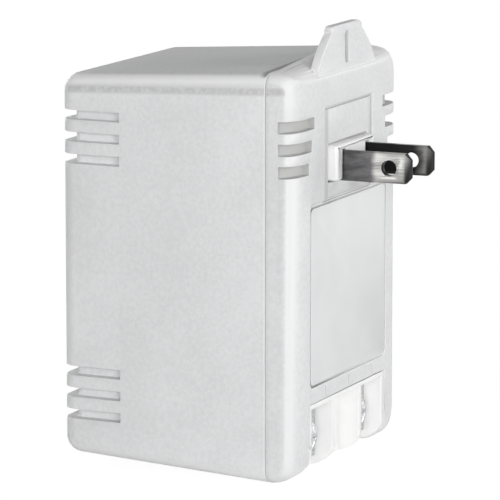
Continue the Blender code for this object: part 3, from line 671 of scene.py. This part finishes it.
def plain_mesh(name):
    """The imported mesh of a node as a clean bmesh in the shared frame."""
    source = nodes[name]
    mesh = bmesh.new()
    mesh.from_mesh(source.data)
    mesh.transform(source.matrix_world)
    bmesh.ops.remove_doubles(mesh, verts=mesh.verts, dist=merged_within)
    bmesh.ops.dissolve_degenerate(mesh, edges=mesh.edges, dist=merged_within)
    bmesh.ops.join_triangles(mesh, faces=mesh.faces, angle_face_threshold=flat_within,
                             angle_shape_threshold=math.pi)
    return mesh


def make_piece(name, mesh, finish):
    """An object at the origin with one finish."""
    data = bpy.data.meshes.new(name)
    mesh.to_mesh(data)
    mesh.free()
    data.shade_smooth()
    data.materials.clear()
    data.materials.append(finish)
    piece = bpy.data.objects.new(name, data)
    scene.collection.objects.link(piece)
    return piece


def bake(piece):
    """Turn a piece's modifiers into its mesh."""
    bpy.context.view_layer.update()
    evaluated = piece.evaluated_get(bpy.context.evaluated_depsgraph_get())
    data = bpy.data.meshes.new_from_object(evaluated)
    piece.modifiers.clear()
    piece.data = data
    return piece


def sharp_edges(mesh, angle):
    """The edges between two faces that turn by more than an angle."""
    return {edge for edge in mesh.edges
            if len(edge.link_faces) == 2 and edge.calc_face_angle(0.0) > angle}


def nowhere(place):
    """No corner of the piece is thin."""
    return False


def soften(piece, width, thin=nowhere):
    """Round the sharp edges by width millimetres, except next to corners that are too thin for it."""
    mesh = bmesh.new()
    mesh.from_mesh(piece.data)
    for edge in sharp_edges(mesh, rounded_from):
        length = edge.calc_length()
        for corner in edge.verts:
            if thin(corner.co) and length > 2 * left_sharp:
                bmesh.utils.edge_split(edge, corner, left_sharp / length)
                break
    weight = mesh.edges.layers.float.new("bevel_weight_edge")
    for edge in sharp_edges(mesh, rounded_from):
        edge[weight] = 0.0 if any(thin(corner.co) for corner in edge.verts) else 1.0
    for edge in sharp_edges(mesh, creased_from):
        edge.smooth = edge[weight] > 0.0
    mesh.to_mesh(piece.data)
    mesh.free()
    bevel = piece.modifiers.new("bevel", "BEVEL")
    bevel.width = width * MM
    bevel.segments = 2
    bevel.limit_method = "WEIGHT"
    bevel.use_clamp_overlap = False
    bevel.harden_normals = True
    return bake(piece)


def stand_in(piece, name):
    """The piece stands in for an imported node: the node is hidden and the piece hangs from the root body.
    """
    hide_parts(name)
    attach(piece, "root")
    print("%s: %d faces" % (piece.name, len(piece.data.polygons)))


# %% [markdown]
# ## Shells, blocks, blades and the other plain pieces
#
# The bevel's width follows how each thing is made: a quarter of a millimetre on moulded edges, less on
# stamped metal, next to nothing on the label's film. The two shells are welded, so the seam hardly shows:
# the case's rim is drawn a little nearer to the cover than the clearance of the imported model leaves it.

# %% Softened shells
rim_drawn_forward = 0.2 * MM
rim_depth = 0.4 * MM
buttress_end = body_half_width - 3.25 * MM
buttress_low = body_height - 4.0 * MM
tab_foot = body_half_width - 13.25 * MM
tab_foot_level = body_height - 1.9 * MM
tab_foot_back = wall_y + 1.4 * MM

case_mesh = plain_mesh("rear_case")
for vert in case_mesh.verts:
    if vert.co.y < seam_y + rim_depth:
        vert.co.y -= rim_drawn_forward
stand_in(soften(make_piece("rear_case_look", case_mesh, shell_plastic), width=0.12), "rear_case")


def at_thin_corner(place):
    """Where the sloping buttress, or the foot of the tab, runs out into the cover's top edge."""
    at_buttress = abs(abs(place.x) - buttress_end) < 0.6 * MM and place.z > buttress_low
    at_foot = abs(abs(place.x) - tab_foot) < 0.4 * MM and abs(place.z - tab_foot_level) < 0.7 * MM
    return at_buttress or (at_foot and place.y < tab_foot_back)


cover_look = make_piece("front_cover_look", plain_mesh("front_cover"), shell_plastic)
stand_in(soften(cover_look, width=0.22, thin=at_thin_corner), "front_cover")

# %% Softened blocks, blades and inner pieces
bevel_of_node = {
    "blade_block": 0.2, "terminal_block": 0.16, "rating_label": 0.04, "blade_left": 0.14,
    "blade_right": 0.14, "core_clamp": 0.2, "thermal_cutoff": 0.4, "bobbin": 0.18,
    "primary_tape": 0.12, "secondary_tape": 0.12, "core_pad": 0.8}
for name, width in bevel_of_node.items():
    stand_in(soften(make_piece(name + "_look", plain_mesh(name), finish_of_node[name]), width), name)

# %% [markdown]
# ## A small kit for repeated shapes
#
# Sheets, turns of wire, threads and ridges repeat, so Geometry Nodes make them. A recipe is one node tree
# with named inputs. It runs on a starting mesh, and its result is kept as a plain mesh, so that a
# finished piece is real geometry.

# %% Recipes
class Recipe:
    """A Geometry Nodes tree with named inputs that ends in one realized mesh with one finish."""

    def __init__(self, name, inputs):
        self.tree = bpy.data.node_groups.new(name, "GeometryNodeTree")
        face = self.tree.interface
        face.new_socket("Geometry", in_out="INPUT", socket_type="NodeSocketGeometry")
        self.identifiers = {}
        for label, kind in (*inputs.items(), ("Material", "NodeSocketMaterial")):
            made = face.new_socket(label, in_out="INPUT", socket_type=kind)
            self.identifiers[label] = made.identifier
        face.new_socket("Geometry", in_out="OUTPUT", socket_type="NodeSocketGeometry")
        self.start = self.tree.nodes.new("NodeGroupInput")
        self.end = self.tree.nodes.new("NodeGroupOutput")

    def given(self, label):
        """One of the recipe's named inputs."""
        return self.start.outputs[label]

    def node(self, kind, settings, inputs):
        """Any node: its settings first, then the values or links of its sockets."""
        made = self.tree.nodes.new(kind)
        for name, value in settings.items():
            setattr(made, name, value)
        for name, value in inputs.items():
            target = made.inputs[name]
            if isinstance(value, bpy.types.NodeSocket):
                self.tree.links.new(value, target)
            else:
                target.default_value = value
        return made.outputs[0]

    def join(self, *parts):
        """Several geometries as one."""
        made = self.tree.nodes.new("GeometryNodeJoinGeometry")
        for part in parts:
            self.tree.links.new(part, made.inputs[0])
        return made.outputs[0]

    def close(self, geometry):
        """End the recipe: real geometry with the given finish."""
        real = self.node("GeometryNodeRealizeInstances", {}, {"Geometry": geometry})
        painted = self.node("GeometryNodeSetMaterial", {},
                            {"Geometry": real, "Material": self.given("Material")})
        self.tree.links.new(painted, self.end.inputs["Geometry"])

    def run(self, name, mesh, finish, values):
        """Make a piece from a starting mesh and the values of the named inputs."""
        piece = make_piece(name, mesh, finish)
        step = piece.modifiers.new("recipe", "NODES")
        step.node_group = self.tree
        step[self.identifiers["Material"]] = finish
        for label, value in values.items():
            step[self.identifiers[label]] = value
        return bake(piece)


NUMBER = "NodeSocketFloat"
WHOLE = "NodeSocketInt"
VECTOR = "NodeSocketVector"

# %% [markdown]
# ## Core packs
#
# A transformer core is a stack of silicon steel sheets half a millimetre thick. One sheet is the front
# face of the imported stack. The recipe gives it thickness, repeats it along the depth and shifts each
# sheet by a few hundredths of a millimetre, as hand-stacked sheets are. An Array modifier could repeat
# the sheet too, but it can't shift the copies one by one.

# %% Sheet stack recipe
same_place = 0.00001 * MM


def make_stack_recipe():
    recipe = Recipe("sheet_stack", {"Count": WHOLE, "Pitch": NUMBER, "Thickness": VECTOR,
                                    "Least Shift": VECTOR, "Most Shift": VECTOR, "Seed": WHOLE})
    sheet = recipe.given("Geometry")
    top = recipe.node("GeometryNodeExtrudeMesh", {"mode": "FACES"},
                      {"Mesh": sheet, "Offset": recipe.given("Thickness"), "Offset Scale": 1.0,
                       "Individual": False})
    bottom = recipe.node("GeometryNodeFlipFaces", {}, {"Mesh": sheet})
    whole = recipe.node("GeometryNodeMergeByDistance", {},
                        {"Geometry": recipe.join(top, bottom), "Distance": same_place})
    step = recipe.node("ShaderNodeCombineXYZ", {}, {"Y": recipe.given("Pitch")})
    line = recipe.node("GeometryNodeMeshLine", {"mode": "OFFSET"},
                       {"Count": recipe.given("Count"), "Offset": step})
    stack = recipe.node("GeometryNodeInstanceOnPoints", {}, {"Points": line, "Instance": whole})
    shift = recipe.node("FunctionNodeRandomValue", {"data_type": "FLOAT_VECTOR"},
                        {0: recipe.given("Least Shift"), 1: recipe.given("Most Shift"),
                         "Seed": recipe.given("Seed")})
    shuffled = recipe.node("GeometryNodeTranslateInstances", {},
                           {"Instances": stack, "Translation": shift})
    recipe.close(shuffled)
    return recipe


def front_sheet(name):
    """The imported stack's front face, turned to face the back so that it can be thickened backwards."""
    mesh = plain_mesh(name)
    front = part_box(name)[0].y
    others = [face for face in mesh.faces
              if any(abs(corner.co.y - front) > merged_within / 2 for corner in face.verts)]
    bmesh.ops.delete(mesh, geom=others, context="FACES")
    bmesh.ops.triangulate(mesh, faces=mesh.faces)
    bmesh.ops.reverse_faces(mesh, faces=mesh.faces)
    return mesh


# %% Core packs from sheets
sheet_pitch = 0.5 * MM
sheet_thickness = 0.44 * MM
sheet_shift = 0.04 * MM
stack_recipe = make_stack_recipe()
for seed, name in enumerate(("e_core", "i_core")):
    low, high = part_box(name)
    depth = high.y - low.y - sheet_thickness
    count = int(depth / sheet_pitch) + 1
    pack = stack_recipe.run(name + "_look", front_sheet(name), core_steel, {
        "Count": count, "Pitch": depth / (count - 1),
        "Thickness": (0.0, sheet_thickness, 0.0), "Least Shift": (-sheet_shift, 0.0, -sheet_shift),
        "Most Shift": (sheet_shift, 0.0, sheet_shift), "Seed": seed})
    pack.data.shade_flat()
    stand_in(pack, name)
    print(name, "has", count, "sheets")

# %% [markdown]
# ## Windings
#
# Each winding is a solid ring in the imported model. Its outer layer is what can be seen, so single turns
# of wire lie side by side round a slightly smaller copy of the ring. One long spiral would be truer, but
# between turns that touch nobody sees the difference, so the turns are one rounded loop, repeated across
# the section.

# %% Winding recipe
wire_sides = 8
corner_points = 5
outer_share = 0.72


def make_winding_recipe():
    recipe = Recipe("winding", {"Count": WHOLE, "Pitch": NUMBER, "Wire Radius": NUMBER, "Depth": NUMBER,
                                "Height": NUMBER, "Corner": NUMBER, "First Turn": VECTOR})
    loop = recipe.node("GeometryNodeCurvePrimitiveQuadrilateral", {"mode": "RECTANGLE"},
                       {"Width": recipe.given("Height"), "Height": recipe.given("Depth")})
    rounded = recipe.node("GeometryNodeFilletCurve", {"mode": "POLY"},
                          {"Curve": loop, "Radius": recipe.given("Corner"), "Count": corner_points})
    turned = recipe.node("GeometryNodeTransform", {},
                         {"Geometry": rounded, "Rotation": (0.0, math.pi / 2, 0.0)})
    section = recipe.node("GeometryNodeCurvePrimitiveCircle", {"mode": "RADIUS"},
                          {"Resolution": wire_sides, "Radius": recipe.given("Wire Radius")})
    turn = recipe.node("GeometryNodeCurveToMesh", {}, {"Curve": turned, "Profile Curve": section})
    step = recipe.node("ShaderNodeCombineXYZ", {}, {"X": recipe.given("Pitch")})
    line = recipe.node("GeometryNodeMeshLine", {"mode": "OFFSET"},
                       {"Count": recipe.given("Count"), "Start Location": recipe.given("First Turn"),
                        "Offset": step})
    turns = recipe.node("GeometryNodeInstanceOnPoints", {}, {"Points": line, "Instance": turn})
    recipe.close(recipe.join(recipe.given("Geometry"), turns))
    return recipe


def shrink(mesh, name, amount):
    """Draw the outer faces of a ring inwards, so that the turns lie round them."""
    low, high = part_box(name)
    for vert in mesh.verts:
        for axis in (1, 2):
            middle = (low[axis] + high[axis]) / 2
            half = (high[axis] - low[axis]) / 2
            reach = abs(vert.co[axis] - middle)
            if reach > half * outer_share:
                vert.co[axis] = middle + (vert.co[axis] - middle) * (reach - amount) / reach
    return mesh


# %% Windings with their turns
wire_radius_of = {"primary_winding": 0.2 * MM, "secondary_winding": 0.42 * MM}
outer_turn_radius = 3.0 * MM
turn_spacing = 2.04
winding_recipe = make_winding_recipe()
for name, wire_radius in wire_radius_of.items():
    low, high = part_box(name)
    width, depth, height = (size - 2 * wire_radius for size in high - low)
    count = int(width / (wire_radius * turn_spacing)) + 1
    ring = shrink(plain_mesh(name), name, wire_radius)
    wound = winding_recipe.run(name + "_look", ring, winding_copper, {
        "Count": count, "Pitch": width / (count - 1), "Wire Radius": wire_radius,
        "Depth": depth, "Height": height, "Corner": outer_turn_radius - wire_radius,
        "First Turn": (low.x + wire_radius, (low.y + high.y) / 2, (low.z + high.z) / 2)})
    stand_in(wound, name)
    print(name, "shows", count, "turns")

# %% [markdown]
# ## Terminal screws
#
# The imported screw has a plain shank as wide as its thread. Here the shank is drawn in to the root of the
# thread, and a helix with a sharp section is wound round it. A Screw modifier could sweep such a helix
# as well, but one recipe with named inputs serves both screws. The head gets softened edges.

# %% Thread recipe
points_per_turn = 24
ridge_sides = 4


def make_thread_recipe():
    recipe = Recipe("thread", {"Turns": NUMBER, "Radius": NUMBER, "Crest": NUMBER, "Length": NUMBER,
                               "Start": VECTOR})
    helix = recipe.node("GeometryNodeCurveSpiral", {},
                        {"Resolution": points_per_turn, "Rotations": recipe.given("Turns"),
                         "Start Radius": recipe.given("Radius"), "End Radius": recipe.given("Radius"),
                         "Height": recipe.given("Length"), "Reverse": False})
    section = recipe.node("GeometryNodeCurvePrimitiveCircle", {"mode": "RADIUS"},
                          {"Resolution": ridge_sides, "Radius": recipe.given("Crest")})
    ridge = recipe.node("GeometryNodeCurveToMesh", {},
                        {"Curve": helix, "Profile Curve": section, "Fill Caps": True})
    laid = recipe.node("GeometryNodeTransform", {},
                       {"Geometry": ridge, "Translation": recipe.given("Start"),
                        "Rotation": (-math.pi / 2, 0.0, 0.0)})
    recipe.close(recipe.join(recipe.given("Geometry"), laid))
    return recipe


def softened_mesh(piece, width):
    """The softened mesh of a piece, ready for a recipe; the piece itself goes."""
    mesh = bmesh.new()
    mesh.from_mesh(soften(piece, width).data)
    bpy.data.objects.remove(piece)
    return mesh


# %% Screws with threads
screw_pitch = 0.5 * MM
screw_radius = 1.5 * MM
screw_head_height = 1.7 * MM
shank_slack = 0.05 * MM
thread_height = 0.3 * MM
thread_gap = 0.3 * MM
point_length = 0.9 * MM
thread_recipe = make_thread_recipe()
for side in ("left", "right"):
    name = "terminal_screw_" + side
    low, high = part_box(name)
    middle = (low + high) / 2
    head_back = low.y + screw_head_height
    mesh = plain_mesh(name)
    for vert in mesh.verts:
        across = Vector((vert.co.x - middle.x, 0.0, vert.co.z - middle.z))
        if vert.co.y > head_back - shank_slack and across.length < screw_radius * 1.02:
            narrowed = across * (1 - thread_height / screw_radius)
            vert.co.x = middle.x + narrowed.x
            vert.co.z = middle.z + narrowed.z
    ready = softened_mesh(make_piece(name + "_head", mesh, plated_steel), 0.1)
    start = head_back + thread_gap
    length = high.y - point_length - start
    screw = thread_recipe.run(name + "_look", ready, plated_steel, {
        "Turns": length / screw_pitch, "Radius": screw_radius - thread_height,
        "Crest": thread_height * 0.95, "Length": length, "Start": (middle.x, start, middle.z)})
    stand_in(screw, name)

# %% [markdown]
# ## Terminal plates
#
# The plates under the screws have pressed ridges that bite into the bare wire. They fill part of the
# narrow gap under the screw's head. Each is a square bar on edge, sunk to its middle in the plate, so no
# groove has to be cut.

# %% Ridge recipe
def make_ridge_recipe():
    recipe = Recipe("ridges", {"Count": WHOLE, "Pitch": NUMBER, "Size": VECTOR, "First": VECTOR})
    bar = recipe.node("GeometryNodeMeshCube", {}, {"Size": recipe.given("Size")})
    tilted = recipe.node("GeometryNodeTransform", {},
                         {"Geometry": bar, "Rotation": (math.pi / 4, 0.0, 0.0)})
    step = recipe.node("ShaderNodeCombineXYZ", {}, {"Z": recipe.given("Pitch")})
    line = recipe.node("GeometryNodeMeshLine", {"mode": "OFFSET"},
                       {"Count": recipe.given("Count"), "Start Location": recipe.given("First"),
                        "Offset": step})
    bars = recipe.node("GeometryNodeInstanceOnPoints", {}, {"Points": line, "Instance": tilted})
    recipe.close(recipe.join(recipe.given("Geometry"), bars))
    return recipe


# %% Plates with ridges
ridge_size = 0.24 * MM
ridge_pitch = 0.75 * MM
ridge_margin = 0.8 * MM
ridge_recipe = make_ridge_recipe()
for side in ("left", "right"):
    name = "terminal_plate_" + side
    low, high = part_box(name)
    ready = softened_mesh(make_piece(name + "_flat", plain_mesh(name), plated_steel), 0.12)
    count = int((high.z - low.z - 2 * ridge_margin) / ridge_pitch) + 1
    plate = ridge_recipe.run(name + "_look", ready, plated_steel, {
        "Count": count, "Pitch": ridge_pitch,
        "Size": (high.x - low.x - 2 * ridge_margin, ridge_size, ridge_size),
        "First": ((low.x + high.x) / 2, low.y, low.z + ridge_margin)})
    stand_in(plate, name)

# %% [markdown]
# ## Floor and background
#
# The object stands on a plain pale floor. Camera rays, and the rays that reflect in metal, see a white
# floor and a white world, while the light that reaches the object stays at a plain level.

# %% Floor
floor_size = 3.0
floor_gap = 0.05 * MM
floor_mesh = bmesh.new()
bmesh.ops.create_grid(floor_mesh, x_segments=1, y_segments=1, size=floor_size / 2)
floor_data = bpy.data.meshes.new("floor")
floor_mesh.to_mesh(floor_data)
floor_mesh.free()
floor = bpy.data.objects.new("floor", floor_data)
floor.location.z = -floor_gap
scene.collection.objects.link(floor)
floor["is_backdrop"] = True

glow_share = 0.86
glow_strength = 1.1
floor_finish = Finish("floor", (0.86, 0.86, 0.86), roughness=0.8)
floor_data.materials.append(floor_finish.material)
seen = floor_finish.node("ShaderNodeLightPath", {}, [], "Is Camera Ray")
light_path = seen.socket.node
mirrored = Value(floor_finish, light_path.outputs["Is Glossy Ray"])
through = Value(floor_finish, light_path.outputs["Is Transmission Ray"])
matt = Value(floor_finish, floor_finish.shader.outputs[0])
glow = floor_finish.node("ShaderNodeEmission", {}, {"Color": (1.0, 1.0, 1.0), "Strength": glow_strength})
floor_mix = floor_finish.node("ShaderNodeMixShader", {},
                              [(seen + mirrored + through) * glow_share, matt, glow])
floor_output = floor_finish.tree.nodes["Material Output"]
floor_finish.tree.links.new(floor_mix.socket, floor_output.inputs["Surface"])

# %% World
ambient_level = 0.17
world = bpy.data.worlds.new("world")
scene.world = world
world.use_nodes = True
sky = world.node_tree
ambient = sky.nodes["Background"]
ambient.inputs["Color"].default_value = (1.0, 1.0, 1.0, 1.0)
ambient.inputs["Strength"].default_value = ambient_level
white = sky.nodes.new("ShaderNodeBackground")
white.inputs["Strength"].default_value = 1.0
path = sky.nodes.new("ShaderNodeLightPath")
sees_white = path.outputs["Is Camera Ray"]
for kind in ("Is Glossy Ray", "Is Transmission Ray"):
    either = sky.nodes.new("ShaderNodeMath")
    either.operation = "MAXIMUM"
    sky.links.new(sees_white, either.inputs[0])
    sky.links.new(path.outputs[kind], either.inputs[1])
    sees_white = either.outputs[0]
choice = sky.nodes.new("ShaderNodeMixShader")
sky.links.new(sees_white, choice.inputs[0])
sky.links.new(ambient.outputs[0], choice.inputs[1])
sky.links.new(white.outputs[0], choice.inputs[2])
sky.links.new(choice.outputs[0], sky.nodes["World Output"].inputs["Surface"])

# %% [markdown]
# ## Lamps
#
# In the photograph the side and the wall side are about equally bright, the upright edge between them is
# the brightest place, and the top is much darker. So the light comes from low, broad lamps round the
# object: the strongest opposite that edge, one in front of the wall side, and three weak ones that keep
# the rear corner, the back and the far side from going dark.

# %% Soft lamps
lamp_distance = 1.6


def make_lamp(name, azimuth, elevation, level, width=0.8, height=0.8):
    """An area lamp aimed at the object; level is how bright it makes a white surface that faces it."""
    turn, tilt = math.radians(azimuth), math.radians(elevation)
    back = Vector((math.sin(turn) * math.cos(tilt), -math.cos(turn) * math.cos(tilt), math.sin(tilt)))
    data = bpy.data.lights.new(name, "AREA")
    data.shape = "RECTANGLE"
    data.size = width
    data.size_y = height
    data.energy = level * math.pi * math.pi * lamp_distance ** 2
    lamp = bpy.data.objects.new(name, data)
    scene.collection.objects.link(lamp)
    lamp.location = Vector((0.0, 0.0, body_height / 2)) + back * lamp_distance
    lamp.rotation_euler = back.to_track_quat("Z", "Y").to_euler()


make_lamp("broad_lamp", azimuth=-60.0, elevation=8.0, level=0.65, width=1.0, height=0.7)
make_lamp("front_lamp", azimuth=10.0, elevation=8.0, level=0.42)
make_lamp("side_lamp", azimuth=-110.0, elevation=6.0, level=0.15)
make_lamp("back_lamp", azimuth=140.0, elevation=12.0, level=0.3)
make_lamp("far_side_lamp", azimuth=72.0, elevation=2.0, level=0.14)

# %% [markdown]
#
# Both boxes are kept, and the growth of the dressed part past the CAD model's box is printed for
# each side. The dressed part has to stay inside the CAD model's box.

# %% Both boxes and the growth
look_low, look_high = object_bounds()
growth = (*(cad_low - look_low), *(look_high - cad_high))
print("growth in mm:", [round(value / MM, 3) for value in growth])
